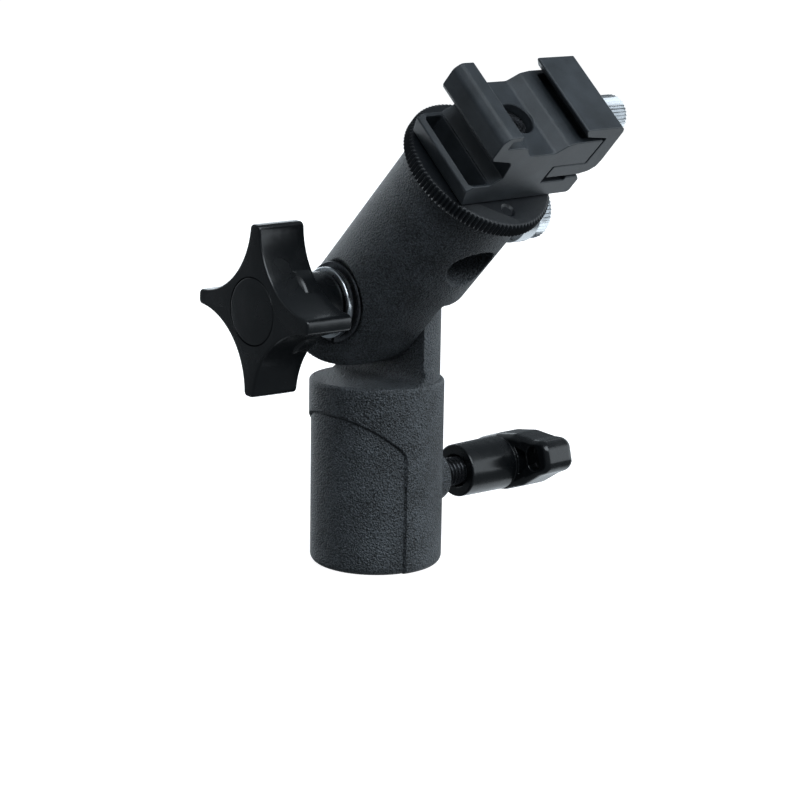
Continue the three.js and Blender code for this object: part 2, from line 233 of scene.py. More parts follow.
def knurled(name, radius, teeth, depth, low, high, rim=0.4, per_tooth=6):
    """A straight-knurled cylinder about Z whose ridges fade out at both chamfered rims."""
    count = teeth * per_tooth

    def ridge(i, share):
        phase = (i % per_tooth) / per_tooth
        return depth * share * (0.5 - 0.5 * math.cos(2 * math.pi * phase))

    def ring(shrink, share):
        points = []
        for i in range(count):
            angle = 2 * math.pi * i / count
            r = radius - shrink - ridge(i, share)
            points.append((r * math.cos(angle), r * math.sin(angle)))
        return points

    layers = [
        (ring(rim + depth, 0.0), low),
        (ring(0.45 * (rim + depth), 0.45), low + 0.35 * rim),
        (ring(0.06, 0.9), low + rim),
        (ring(0, 1.0), low + 1.4 * rim),
        (ring(0, 1.0), high - 1.4 * rim),
        (ring(0.06, 0.9), high - rim),
        (ring(0.45 * (rim + depth), 0.45), high - 0.35 * rim),
        (ring(rim + depth, 0.0), high),
    ]
    return stack(name, layers)


def threaded(name, radius, pitch, low, high, depth_share=0.55, segments=48, tip=0.5):
    """A threaded rod about Z: one helical ridge, with a chamfer at each end."""
    per_turn = 10
    rows = int((high - low) / pitch * per_turn)
    depth = depth_share * pitch
    layers = []
    for row in range(rows + 1):
        height = low + (high - low) * row / rows
        end_gap = min(height - low, high - height)
        limit = radius - max(0.0, tip - end_gap)
        outline = []
        for i in range(segments):
            angle = 2 * math.pi * i / segments
            phase = (height / pitch - i / segments) % 1.0
            crest = min(1.0, max(0.0, 1.45 * (1 - abs(2 * phase - 1)) - 0.2))
            r = min(limit, radius - depth * (1 - crest))
            outline.append((r * math.cos(angle), r * math.sin(angle)))
        layers.append((outline, height))
    return stack(name, layers)


# ---- changing meshes ----
def turned_to(piece, direction):
    """Turns a piece drawn along +Z to lie along +X or -Y."""
    if direction == "+X":
        piece.data.transform(Matrix.Rotation(math.pi / 2, 4, "Y"))
    if direction == "-Y":
        piece.data.transform(Matrix.Rotation(math.pi / 2, 4, "X"))
    return piece


def moved(piece, x=0.0, y=0.0, z=0.0):
    piece.data.transform(Matrix.Translation((x, y, z)))
    return piece


def side_profile(piece):
    """Takes a piece pushed along Z from an (x, z) outline so that it lies along Y."""
    piece.data.transform(Matrix.Rotation(math.pi / 2, 4, "X"))
    return piece


def bake(piece):
    """Applies the modifiers of a piece to its mesh."""
    graph = bpy.context.evaluated_depsgraph_get()
    mesh = bpy.data.meshes.new_from_object(piece.evaluated_get(graph))
    piece.modifiers.clear()
    old = piece.data
    piece.data = mesh
    bpy.data.meshes.remove(old)
    return piece


def combine(piece, others, operation):
    for other in others:
        modifier = piece.modifiers.new("combine", "BOOLEAN")
        modifier.operation = operation
        modifier.solver = "MANIFOLD"
        modifier.object = other
        bake(piece)
        bpy.data.objects.remove(other)
    return piece


def cut(piece, *others):
    return combine(piece, others, "DIFFERENCE")


def join(piece, *others):
    return combine(piece, others, "UNION")


def overlap(piece, *others):
    return combine(piece, others, "INTERSECT")


def soften(piece, voxel, rounds):
    """Remeshes a cast shape evenly and relaxes it, which rounds its edges and fills its corners."""
    remesh = piece.modifiers.new("remesh", "REMESH")
    remesh.mode = "VOXEL"
    remesh.voxel_size = voxel
    relax = piece.modifiers.new("relax", "SMOOTH")
    relax.factor = 0.5
    relax.iterations = rounds
    return bake(piece)


def shade(piece, angle=35):
    """Smooth shading, with edges sharper than the angle kept crisp."""
    piece.data.shade_smooth()
    work = bmesh.new()
    work.from_mesh(piece.data)
    for edge in work.edges:
        if len(edge.link_faces) == 2 and edge.calc_face_angle(0) > math.radians(angle):
            edge.smooth = False
    work.to_mesh(piece.data)
    work.free()
    return piece


def flatten(piece):
    """Lets the large flat faces set the shading, so that small edge rounds don't bend it."""
    weigh = piece.modifiers.new("weigh", "WEIGHTED_NORMAL")
    weigh.weight = 100
    weigh.keep_sharp = True
    return bake(piece)


def finish(piece, name, place, body, node, material, angle=35, flat_faced=False):
    """Places a piece, gives it its finish and hands it to its body in place of its CAD node."""
    piece.name = name
    piece.data.transform(place)
    shade(piece, angle)
    if flat_faced:
        flatten(piece)
    piece.data.name = name
    piece.data.materials.clear()
    piece.data.materials.append(material)
    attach(piece, body)
    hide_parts(node)
    return piece


# ---- materials ----
class Surface:
    """A small wrapper that builds one node material in object space."""

    def __init__(self, name, color, roughness, metallic=0.0, specular=0.5):
        self.material = bpy.data.materials.new(name)
        self.material.use_nodes = True
        self.nodes = self.material.node_tree.nodes
        self.links = self.material.node_tree.links
        self.shader = self.nodes["Principled BSDF"]
        self.shader.inputs["Base Color"].default_value = (*color, 1)
        self.shader.inputs["Roughness"].default_value = roughness
        self.shader.inputs["Metallic"].default_value = metallic
        self.shader.inputs["Specular IOR Level"].default_value = specular
        self.place = self.nodes.new("ShaderNodeTexCoord")

    def noise(self, size_mm, detail=2.0, rough=0.5, distortion=0.0, stretch=None):
        """Noise whose features are about size_mm across."""
        node = self.nodes.new("ShaderNodeTexNoise")
        node.inputs["Scale"].default_value = 1 / (size_mm * MM)
        node.inputs["Detail"].default_value = detail
        node.inputs["Roughness"].default_value = rough
        node.inputs["Distortion"].default_value = distortion
        source = self.place.outputs["Object"]
        if stretch:
            mapping = self.nodes.new("ShaderNodeMapping")
            mapping.inputs["Scale"].default_value = stretch
            self.links.new(source, mapping.inputs["Vector"])
            source = mapping.outputs["Vector"]
        self.links.new(source, node.inputs["Vector"])
        return node.outputs["Fac"]

    def cells(self, size_mm, smooth=0.6):
        node = self.nodes.new("ShaderNodeTexVoronoi")
        node.feature = "SMOOTH_F1"
        node.inputs["Scale"].default_value = 1 / (size_mm * MM)
        node.inputs["Smoothness"].default_value = smooth
        self.links.new(self.place.outputs["Object"], node.inputs["Vector"])
        return node.outputs["Distance"]

    def span(self, value, low, high, out_low=0.0, out_high=1.0):
        """Maps a value range to another, held at both ends."""
        node = self.nodes.new("ShaderNodeMapRange")
        node.inputs["From Min"].default_value = low
        node.inputs["From Max"].default_value = high
        node.inputs["To Min"].default_value = out_low
        node.inputs["To Max"].default_value = out_high
        self.links.new(value, node.inputs["Value"])
        return node.outputs["Result"]

    def sum(self, first, second, weight=1.0):
        node = self.nodes.new("ShaderNodeMath")
        node.operation = "MULTIPLY_ADD"
        node.inputs[1].default_value = weight
        self.links.new(second, node.inputs[0])
        self.links.new(first, node.inputs[2])
        return node.outputs["Value"]

    def mix(self, factor, first, second):
        node = self.nodes.new("ShaderNodeMix")
        node.data_type = "RGBA"
        node.inputs["A"].default_value = (*first, 1)
        node.inputs["B"].default_value = (*second, 1)
        self.links.new(factor, node.inputs["Factor"])
        return node.outputs["Result"]

    def color(self, value):
        self.links.new(value, self.shader.inputs["Base Color"])

    def roughness(self, value):
        self.links.new(value, self.shader.inputs["Roughness"])

    def bump(self, height, depth_mm, strength=1.0):
        node = self.nodes.new("ShaderNodeBump")
        node.inputs["Strength"].default_value = strength
        node.inputs["Distance"].default_value = depth_mm * MM
        self.links.new(height, node.inputs["Height"])
        self.links.new(node.outputs["Normal"], self.shader.inputs["Normal"])


def wrinkle_paint():
    """Charcoal powder coat with a fine sandy wrinkle."""
    paint = Surface("wrinkle_paint", (0.02, 0.022, 0.025), 0.5)
    grain = paint.noise(0.32, detail=2, rough=0.6)
    pits = paint.cells(0.38)
    height = paint.sum(grain, pits, 0.8)
    patches = paint.noise(7.0, detail=3)
    tone = paint.span(paint.sum(grain, patches, 0.3), 0.52, 0.78)
    paint.color(paint.mix(tone, (0.002, 0.003, 0.004), (0.07, 0.078, 0.086)))
    paint.roughness(paint.span(grain, 0.3, 0.7, 0.42, 0.62))
    paint.bump(height, 0.3, 1.0)
    return paint.material


def gloss_plastic():
    """Moulded black plastic with a slightly uneven gloss and a little dust."""
    plastic = Surface("gloss_plastic", (0.0034, 0.0042, 0.005), 0.24)
    swirl = plastic.noise(6.0, detail=2, distortion=0.4)
    fine = plastic.noise(0.35, detail=2)
    plastic.roughness(plastic.span(swirl, 0.3, 0.7, 0.21, 0.3))
    dust = plastic.span(plastic.noise(0.55, detail=1), 0.8, 0.86)
    plastic.color(plastic.mix(dust, (0.0034, 0.0042, 0.005), (0.06, 0.06, 0.06)))
    plastic.bump(plastic.sum(swirl, fine, 0.012), 0.16, 0.7)
    return plastic.material


def satin_metal():
    """Black anodised metal with a fine grain."""
    metal = Surface("satin_black", (0.012, 0.014, 0.017), 0.42)
    grain = metal.noise(0.16, detail=2)
    patches = metal.noise(5.0, detail=3)
    tone = metal.span(metal.sum(patches, grain, 0.6), 0.55, 1.05)
    metal.color(metal.mix(tone, (0.013, 0.016, 0.019), (0.034, 0.0395, 0.046)))
    metal.roughness(metal.span(grain, 0.3, 0.7, 0.38, 0.5))
    metal.bump(grain, 0.03, 0.5)
    return metal.material


def disc_metal():
    """The same finish as the shoe, but darker, with a fine grain."""
    # painted shade: the darker base colour stands partly for the shade the shoe casts on the disc's top,
    # and partly for the disc's own darker finish
    metal = Surface("disc_black", (0.006, 0.0072, 0.009), 0.36, specular=0.3)
    grain = metal.noise(0.2, detail=2)
    metal.color(metal.mix(metal.span(grain, 0.45, 0.75), (0.005, 0.006, 0.0075), (0.013, 0.0155, 0.019)))
    metal.roughness(metal.span(grain, 0.3, 0.7, 0.32, 0.46))
    metal.bump(grain, 0.025, 0.5)
    return metal.material


def bright_metal():
    """Bright nickel plate with faint turning marks."""
    metal = Surface("bright_steel", (0.56, 0.58, 0.6), 0.22, metallic=1.0)
    marks = metal.noise(0.5, detail=3, stretch=(1, 0.12, 0.12))
    metal.roughness(metal.span(marks, 0.3, 0.7, 0.16, 0.34))
    metal.bump(marks, 0.01, 0.35)
    return metal.material


def dark_metal(name, dark, pale):
    """Black-plated steel, from a dark and a pale worn tone."""
    metal = Surface(name, dark, 0.34, metallic=0.9)
    grain = metal.noise(0.3, detail=3)
    metal.color(metal.mix(metal.span(grain, 0.35, 0.7), dark, pale))
    metal.roughness(metal.span(grain, 0.3, 0.7, 0.26, 0.42))
    metal.bump(grain, 0.015, 0.4)
    return metal.material


def turned_brass():
    metal = Surface("brass", (0.62, 0.44, 0.19), 0.3, metallic=1.0)
    marks = metal.noise(0.5, detail=3, stretch=(1, 0.12, 0.12))
    metal.color(metal.mix(metal.span(marks, 0.3, 0.7), (0.5, 0.35, 0.14), (0.7, 0.52, 0.25)))
    metal.roughness(metal.span(marks, 0.3, 0.7, 0.24, 0.42))
    return metal.material


def red_fibre():
    fibre = Surface("fibre", (0.2, 0.06, 0.04), 0.85)
    weave = fibre.noise(0.25, detail=4, rough=0.7)
    fibre.color(fibre.mix(weave, (0.13, 0.035, 0.025), (0.26, 0.09, 0.06)))
    fibre.bump(weave, 0.04, 0.6)
    return fibre.material


CASTING = wrinkle_paint()
PLASTIC = gloss_plastic()
SATIN = satin_metal()
DISC_BLACK = disc_metal()
BRIGHT = bright_metal()
BLACK_STEEL = dark_metal("black_steel", (0.022, 0.023, 0.026), (0.07, 0.072, 0.078))
SPRING_STEEL = dark_metal("spring_steel", (0.06, 0.062, 0.067), (0.13, 0.134, 0.145))
BRASS = turned_brass()
FIBRE = red_fibre()

# ---- sizes in millimetres ----
PIVOT_Z = PIVOT.z / MM
COLLAR_R = 13.7
PANEL_STEP = 0.42  # how far the side panel is sunk into the socket
PANEL_EDGE = 104.5  # degrees from +X where the sunk panel starts
PANEL_TOP = 32.1
SOCKET_H = 38.3
SOCKET_BORE_R = 8.1
SOCKET_DEPTH = 33.0
EAR_X = 1.0
EAR_R = 12.8
CLAMP_Z = row_point("clamp_turn").z / MM
BOSS_R = 5.3
BOSS_END = 17.0
BOLT_R = 3.0
HOLE_R = BOLT_R + 0.3
STUD_HOLE_R = 3.47  # clears the quarter-inch stud
JAW_HOLE_R = 1.8  # clears the jaw screw


# ---- socket casting ----
def panel_depth(angle, height):
    """How far the socket's wall is sunk at a point: a panel with a curved top on the -X side."""
    turn = abs(math.degrees(math.atan2(math.sin(angle), math.cos(angle))))
    drop, flat_from, spread, power = 6.9, 172, 65, 1.9
    top = PANEL_TOP - drop * (max(0.0, flat_from - turn) / spread) ** power
    side = math.radians(turn - PANEL_EDGE) * COLLAR_R
    slant = 0.86  # the top edge slopes, so its nearest point is closer than straight up
    above = (top - height) * slant
    corner = 1.1
    nearest = min(side, above)
    if side < corner and above < corner:
        nearest = corner - math.hypot(corner - side, corner - above)
    step_width, crease_depth, crease_width = 0.28, 0.3, 0.22
    share = min(1.0, max(0.0, nearest / step_width + 0.5))
    crease = crease_depth * math.exp(-((nearest - 0.1) / crease_width) ** 2)
    return PANEL_STEP * share * share * (3 - 2 * share) + crease


def socket_wall():
    """The socket's outside as rings of points that follow the sunk panel."""
    columns = 420
    rim, crown = 1.5, 0.8
    heights = [rim * (1 - math.cos(math.pi / 2 * k / 6)) for k in range(6)]
    rows = 150
    heights += [rim + (SOCKET_H - rim - crown) * k / rows for k in range(rows + 1)]
    heights += [SOCKET_H - crown * (1 - math.sin(math.pi / 2 * k / 6)) for k in range(1, 7)]
    layers = []
    for height in heights:
        shrink = 0.0
        if height < rim:
            shrink = rim - math.sqrt(rim ** 2 - (rim - height) ** 2)
        if height > SOCKET_H - crown:
            shrink = crown - math.sqrt(max(0.0, crown ** 2 - (height - SOCKET_H + crown) ** 2))
        outline = []
        for i in range(columns):
            angle = 2 * math.pi * i / columns
            radius = COLLAR_R - shrink - panel_depth(angle, height)
            outline.append((radius * math.cos(angle), radius * math.sin(angle)))
        layers.append((outline, height))
    return stack("socket_body", layers)


def along_x(piece):
    """Takes a piece drawn in (Y, Z) and pushed along Z so that it is pushed along X instead."""
    piece.data.transform(Matrix(((0, 0, 1, 0), (1, 0, 0, 0), (0, 1, 0, 0), (0, 0, 0, 1))))
    return piece


def ear():
    """The upright ear: a flat-faced lug with a round top, with a filleted foot."""
    foot = SOCKET_H - 2
    side = [(-EAR_R, foot), (EAR_R, foot)] + arc((0, PIVOT_Z), EAR_R, 0, 180, 40)
    lug = along_x(prism("ear", side, EAR_X, COLLAR_R))
    overlap(lug, cylinder(EAR_R, 0, PIVOT_Z + 2 * EAR_R, 160))
    reach, rise = 1.9, 2.6
    fillet = [(EAR_X + 3, foot), (EAR_X + 3, SOCKET_H + rise), (EAR_X - 0.1, SOCKET_H + rise)]
    for k in range(1, 7):
        turn = math.pi / 2 * k / 6
        fillet.append((EAR_X - reach * (1 - math.cos(turn)), SOCKET_H + rise * (1 - math.sin(turn))))
    fillet.append((EAR_X - reach, foot))
    step = side_profile(prism("foot", fillet, -COLLAR_R, COLLAR_R))
    overlap(step, cylinder(COLLAR_R - 0.25, 0, PIVOT_Z, 160))
    join(lug, step)
    return soften(lug, 0.26, 6)


def socket_body():
    body = socket_wall()
    boss = lathe("boss", rounded(
        [(0, SOCKET_BORE_R + 2), (BOSS_R, SOCKET_BORE_R + 2), (BOSS_R, BOSS_END, 1.0), (0, BOSS_END)],
        closed=False), 96)
    moved(turned_to(boss, "+X"), z=CLAMP_Z)
    join(body, ear(), boss)
    bore = lathe("bore", [
        (0, -1), (SOCKET_BORE_R + 1.9, -1), (SOCKET_BORE_R, 0.9), (SOCKET_BORE_R, SOCKET_DEPTH - 1),
        (SOCKET_BORE_R - 1, SOCKET_DEPTH), (0, SOCKET_DEPTH)], 160)
    clamp_hole = moved(turned_to(cylinder(HOLE_R, 0, BOSS_END + 1), "+X"), z=CLAMP_Z)
    bolt_hole = moved(turned_to(cylinder(HOLE_R, 0, COLLAR_R + 1), "+X"), z=PIVOT_Z)
    seat = moved(turned_to(cylinder(8.2, EAR_X - 1, EAR_X + 1.4), "+X"), z=PIVOT_Z)
    pocket = prism("pocket", rounded([(*p, 0.4) for p in polygon(6, 10.4)]), 8.4, COLLAR_R + 1)
    moved(turned_to(pocket, "+X"), z=PIVOT_Z)
    cut(body, bore, clamp_hole, bolt_hole, seat, pocket)
    finish(body, "socket_casting", BASE, "base", "socket_body", CASTING, 40)


# ---- clamp screw and T handle ----
def clamp_screw():
    low, high = extent("clamp_screw", BASE)
    rod = threaded("clamp_screw", BOLT_R, 1.0, low.x, high.x)
    moved(turned_to(rod, "+X"), z=CLAMP_Z)
    finish(rod, "clamp_screw_thread", BASE, "clamp_lever", "clamp_screw", BLACK_STEEL,
           50)


HUB_X = 22.5  # the hub's face, towards the socket
HUB_R = 5.7
WING_X = 33.5  # the wings start just past this
WING_BACK = 44.0
WING_SPAN = 14.6  # from the screw's axis to a wing's tip
WING_TURN = math.radians(14)  # how far the wings are turned at rest


def wing():
    """The handle's two wings: their plan met with their end view, which tapers to round tips."""
    root = HUB_R + 0.5
    front = WING_X + 2.0
    half = [
        (WING_X + 0.4, root - 0.8), (front, root + 1.2, 1.0), (front + 0.2, WING_SPAN, 1.2),
        (WING_BACK, WING_SPAN, 1.8), (WING_BACK, 4),
    ]
    plan = [(x, -y, *r) for x, y, *r in half] + [(x, y, *r) for x, y, *r in reversed(half)]
    slab = prism("wing", rounded(plan, 6), -root - 1, root + 1)
    crown = [(WING_SPAN, 3.2, 2.8), (10.5, 4.0, 6.0), (5.5, 5.7, 4.0), (0, 6.2)]
    top = crown + [(-y, z, *r) for y, z, *r in reversed(crown[:-1])]
    end_view = rounded(top + [(-y, -z, *r) for y, z, *r in top], 7)
    limit = prism("limit", end_view, WING_X + 1.9, WING_BACK, 1.5, 8)
    return overlap(slab, along_x(limit))


def finger_hollow(side):
    """A core-out in one wing, from round the hub nearly to the tip, open towards the socket."""
    near = HUB_R + 0.5
    outline = arc((0, 0), near, 32, -32, 12) + rounded([
        (8.8, -3.2, 1.5), (11.9, -2.2, 1.2), (11.9, 2.2, 1.2), (8.8, 3.2, 1.5)], 6)
    outline = outline[::-1]
    if side < 0:
        outline = [(-y, z) for y, z in reversed(outline)]
    return along_x(prism("hollow", outline, WING_X - 2, WING_X + 4.4))


def clamp_handle():
    hub = lathe("clamp_handle", rounded([
        (0, HUB_X), (HUB_R - 0.1, HUB_X, 0.3), (HUB_R + 0.1, WING_X + 1.6, 0.4),
        (HUB_R - 0.7, WING_X + 1.9, 0.4), (HUB_R - 0.7, WING_X + 3.2), (0, WING_X + 3.2)],
        closed=False), 128)
    turned_to(hub, "+X")
    join(hub, wing())
    cut(hub, finger_hollow(1), finger_hollow(-1))
    soften(hub, 0.15, 3)
    mouth = lathe("mouth", [(0, HUB_X - 1), (HOLE_R + 0.5, HUB_X - 1), (HOLE_R + 0.4, HUB_X),
                            (HOLE_R, HUB_X + 0.5), (HOLE_R, WING_X + 2.3), (0, WING_X + 2.3)], 96)
    cut(hub, turned_to(mouth, "+X"))
    hub.data.transform(Matrix.Rotation(-WING_TURN, 4, "X"))
    moved(hub, z=CLAMP_Z)
    finish(hub, "clamp_t_handle", BASE, "clamp_lever", "clamp_handle", PLASTIC, 60)


# ---- star knob ----
KNOB_R = 16.9  # to a lobe's tip
KNOB_VALLEY_R = 8.7  # to the hollow between two lobes
KNOB_TIP_HALF = 1.65  # half a lobe's width at its tip
KNOB_TIP_ROUND = 1.1
KNOB_CAP_R = 6.5
KNOB_FRONT = -32.1
LOBE_DEPTH = 10.8
KNOB_HUB_R = 6.3
KNOB_TURN = 3.5  # degrees that the lobes are turned at rest


def star_outline():
    """Four lobes whose flanks are one arc from tip to tip, with rounded tips."""
    tip = Vector((KNOB_TIP_HALF, KNOB_R - KNOB_TIP_ROUND))
    valley = KNOB_VALLEY_R / math.sqrt(2)
    # the arc's centre lies on the diagonal, equally far from a tip corner and the valley
    centre = (tip.length_squared - 2 * valley ** 2) / (2 * (tip.x + tip.y) - 4 * valley)
    radius = math.sqrt(2) * (centre - valley)
    corner = math.degrees(math.atan2(tip.y - centre, tip.x - centre)) % 360
    flank = arc((centre, centre), radius, corner, 450 - corner, 40)[::-1]
    upper_tip = arc((KNOB_R - KNOB_TIP_ROUND, KNOB_TIP_HALF - KNOB_TIP_ROUND), KNOB_TIP_ROUND, 3, 84, 7)
    points = []
    for lobe in range(4):
        turn = math.radians(90 * lobe + KNOB_TURN)
        for x, y in [(x, -y) for x, y in reversed(upper_tip)] + upper_tip + flank[1:-1]:
            points.append((x * math.cos(turn) - y * math.sin(turn),
                           x * math.sin(turn) + y * math.cos(turn)))
    return points


def star_lobes():
    """The lobes, moulded with a little draft towards the front and rounded rims."""
    outline = star_outline()
    rim, draft, steps = 0.42, 0.16, 6
    arcs = quarter(steps)
    layers = [
        (inset(outline, draft + rim * (1 - math.sin(a))), rim * (1 - math.cos(a))) for a in arcs
    ]
    for share in (0.25, 0.5, 0.75):
        layers.append((inset(outline, draft * (1 - share) ** 2), LOBE_DEPTH * share))
    layers += [
        (inset(outline, rim * (1 - math.cos(a))), LOBE_DEPTH - rim * (1 - math.sin(a)))
        for a in arcs
    ]
    return stack("star_knob", layers)


def star_knob():
    lobes = star_lobes()
    hub_end = extent("star_knob", BASE)[1].x - KNOB_FRONT
    collar = KNOB_VALLEY_R + 0.6
    hub = lathe("hub", rounded([
        (0, 3), (KNOB_VALLEY_R - 0.7, 3), (KNOB_VALLEY_R - 0.25, 6.0), (collar, 6.9, 1.0),
        (collar, LOBE_DEPTH - 0.6, 0.9), (KNOB_HUB_R + 0.3, LOBE_DEPTH + 0.8, 0.9),
        (KNOB_HUB_R, hub_end, 0.5), (0, hub_end)], closed=False), 128)
    join(lobes, hub)
    cut(lobes, cylinder(5.1, 4, hub_end + 1))
    cut(lobes, lathe("seat", [(0, -1), (7.0, -1), (6.66, 0.1), (6.54, 0.4), (6.54, 0.9), (0, 0.9)], 128))
    moved(turned_to(lobes, "+X"), x=KNOB_FRONT, z=PIVOT_Z)
    finish(lobes, "star_knob_moulding", BASE, "knob", "star_knob", PLASTIC, 40)


def knob_cap():
    front = extent("knob_cap", BASE)[0].x
    cap = lathe("knob_cap", rounded(
        [(0, front), (KNOB_CAP_R, front, 0.22), (KNOB_CAP_R, front + 0.8), (0, front + 0.8)],
        closed=False), 128)
    moved(turned_to(cap, "+X"), z=PIVOT_Z)
    finish(cap, "knob_cap_disc", BASE, "knob", "knob_cap", PLASTIC, 32)


# ---- tilting head ----
HEAD_R = 13.0
SHOULDER = 13.2  # where the flat side that faces the ear ends
UMBRELLA = 25.0  # the umbrella hole's height above the pivot
UMBRELLA_R = 5.0


def head_body():
    top = extent("head_body", HEAD)[1].z
    body = lathe("head_body", rounded(
        [(0, -HEAD_R), (HEAD_R, -HEAD_R), (HEAD_R, top, 0.7), (0, top)], closed=False), 192)
    end = turned_to(cylinder(HEAD_R, -HEAD_R - 1, HEAD_R + 1, 192), "+X")
    join(end, block(-HEAD_R - 1, HEAD_R + 1, -HEAD_R - 1, HEAD_R + 1, 0, top + 1))
    overlap(body, end)
    wide = HEAD_R + 2
    tongue_x = 0.5
    cut(body, block(tongue_x, wide, -wide, wide, -wide, SHOULDER))
    seat_x, lip_x = -10.2, -10.9
    lip_r, mouth_r = 7.7, 9.8
    seat = lathe("seat", [(0, -wide), (mouth_r + 1, -wide), (mouth_r, -HEAD_R), (lip_r + 0.3, lip_x),
                          (lip_r, lip_x), (lip_r, seat_x), (0, seat_x)], 128)
    cut(body, turned_to(seat, "+X"))
    hole = turned_to(cylinder(UMBRELLA_R, -wide, wide), "-Y")
    cut(body, moved(hole, z=UMBRELLA))
    soften(body, 0.25, 5)
    screw_r = 2.8
    screw_hole = moved(turned_to(cylinder(screw_r, 0, wide), "+X"), z=UMBRELLA)
    bolt_hole = turned_to(cylinder(HOLE_R, -wide, wide), "+X")
    stud_hole = cylinder(STUD_HOLE_R, UMBRELLA, top + 1)
    grub_r, grub_z = 1.8, 34.2
    grub_hole = moved(turned_to(cylinder(grub_r, -wide, 0, 48), "-Y"), z=grub_z)
    cut(body, screw_hole, bolt_hole, stud_hole, grub_hole)
    finish(body, "head_casting", HEAD, "head", "head_body", CASTING, 50)


# ---- pivot bolt, washers and inner pieces ----
def pivot_bolt():
    low, high = extent("pivot_bolt", BASE)
    bolt = threaded("pivot_bolt", BOLT_R, 1.0, low.x, 9)
    flats = prism("hex", rounded([(*p, 0.3) for p in polygon(6, 10)]), high.x - 4, high.x, 0.25)
    crown = lathe("crown", [(0, high.x - 5), (8, high.x - 5), (8, high.x - 1.6),
                            (4.9, high.x), (0, high.x)], 96)
    overlap(flats, crown)
    join(bolt, flats)
    moved(turned_to(bolt, "+X"), z=PIVOT_Z)
    finish(bolt, "pivot_hex_bolt", BASE, "base", "pivot_bolt", BLACK_STEEL, 40)


def washer(node, name, body, material, edge):
    """A flat ring about the pivot axis, with rounded rims."""
    low, high = extent(node, BASE)
    profile = rounded([
        (HOLE_R, low.x, edge), (high.y, low.x, edge), (high.y, high.x, edge),
        (HOLE_R, high.x, edge)], 4)
    ring = lathe(name, profile, 128, closed=True)
    moved(turned_to(ring, "+X"), z=PIVOT_Z)
    finish(ring, name, BASE, body, node, material, 40)


def washers():
    washer("flat_washer", "flat_washer_ring", "knob_washer", BRIGHT, 0.35)
    washer("friction_washer", "friction_washer_ring", "base", FIBRE, 0.1)


def spring_washer():
    """A split coned ring about the pivot axis."""
    low, high = extent("spring_washer", BASE)
    ring = lathe("spring_washer", rounded([
        (HOLE_R, high.x - 0.65, 0.12), (high.y, low.x, 0.2),
        (high.y, low.x + 0.6, 0.2), (HOLE_R, high.x, 0.12)], 3), 128, closed=True)
    cut(ring, block(5.5, 9, -0.4, 0.4, low.x - 1, high.x + 1))
    moved(turned_to(ring, "+X"), z=PIVOT_Z)
    finish(ring, "spring_washer_ring", BASE, "base", "spring_washer", SPRING_STEEL,
           35)


def knob_insert():
    low, high = extent("knob_insert", BASE)
    insert = knurled("knob_insert", high.y, 28, 0.25, low.x, high.x)
    cut(insert, cylinder(BOLT_R + 0.1, low.x - 1, high.x + 1))
    moved(turned_to(insert, "+X"), z=PIVOT_Z)
    finish(insert, "knob_threaded_insert", BASE, "knob", "knob_insert", BRASS, 35)


def pad(node, name, place, body, height):
    """A small brass tip with rounded rims, lying along X."""
    low, high = extent(node, place)
    tip = prism(name, circle(high.y), low.x, high.x, 0.35)
    moved(turned_to(tip, "+X"), z=height)
    finish(tip, name, place, body, node, BRASS, 35)


# ---- umbrella lock screw ----
def umbrella_screw():
    low, high = extent("umbrella_screw", HEAD)
    flange_start, flange_end, flange_r = 17.0, 22.1, 6.3
    screw = threaded("umbrella_screw", 2.5, 0.8, low.x, flange_start + 0.5)
    flange = lathe("flange", rounded([
        (0, flange_start), (flange_r - 0.8, flange_start, 0.4), (flange_r, flange_start + 1.2, 0.4),
        (flange_r, flange_end - 0.5, 0.3), (5.4, flange_end + 0.1, 0.3), (0, flange_end + 0.1)],
        closed=False), 128)
    grip = knurled("grip", 5.9, 44, 0.4, flange_end - 0.4, high.x, 0.45)
    dish = lathe("dish", [(0, high.x - 0.35), (3.8, high.x - 0.35), (4.4, high.x + 0.2), (0, high.x + 1)],
                 96)
    join(screw, flange, grip)
    cut(screw, dish)
    moved(turned_to(screw, "+X"), z=UMBRELLA)
    finish(screw, "umbrella_lock_screw", HEAD, "umbrella_knob", "umbrella_screw", BRIGHT,
           32)


# ---- top stud, grub screw and lock disc ----
def top_stud():
    low, high = extent("top_stud", HEAD)
    stud = threaded("top_stud", high.x, 1.27, low.z, high.z)
    dish = lathe("dish", [(0, high.z - 0.9), (1.0, high.z - 0.7), (1.2, high.z - 0.3), (1.9, high.z - 0.3),
                          (2.2, high.z + 0.1), (2.2, high.z + 1), (0, high.z + 1)], 64)
    cut(stud, dish)
    finish(stud, "quarter_inch_stud", HEAD, "head", "top_stud", BLACK_STEEL, 40)


def grub_screw():
    low, high = extent("stud_grub_screw", HEAD)
    grub = threaded("grub_screw", 1.5, 0.5, -high.y, -low.y, tip=0.2)
    cut(grub, prism("key", polygon(6, 1.3), -low.y - 1.4, -low.y + 1))
    moved(turned_to(grub, "-Y"), z=(low.z + high.z) / 2)
    finish(grub, "stud_set_screw", HEAD, "head", "stud_grub_screw", BLACK_STEEL, 35)


def lock_disc():
    low, high = extent("lock_disc", HEAD)
    disc = knurled("lock_disc", high.x, 104, 0.42, low.z, high.z, 0.45, 6)
    cut(disc, cylinder(STUD_HOLE_R, low.z - 1, high.z + 1))
    mark = lathe("mark", rounded([(0, high.z - 0.35), (1.1, high.z - 0.35, 0.3), (1.6, high.z + 0.05),
                                  (1.6, high.z + 1), (0, high.z + 1)], closed=False), 48)
    cut(disc, moved(mark, -0.6, -11.2))
    finish(disc, "lock_disc_rim", HEAD, "disc", "lock_disc", DISC_BLACK, 32)


# ---- hot shoe: x across the slot, y along it, heights above its underside ----
HALF = 9.0
SHOE_SCREW_Z = 10.9


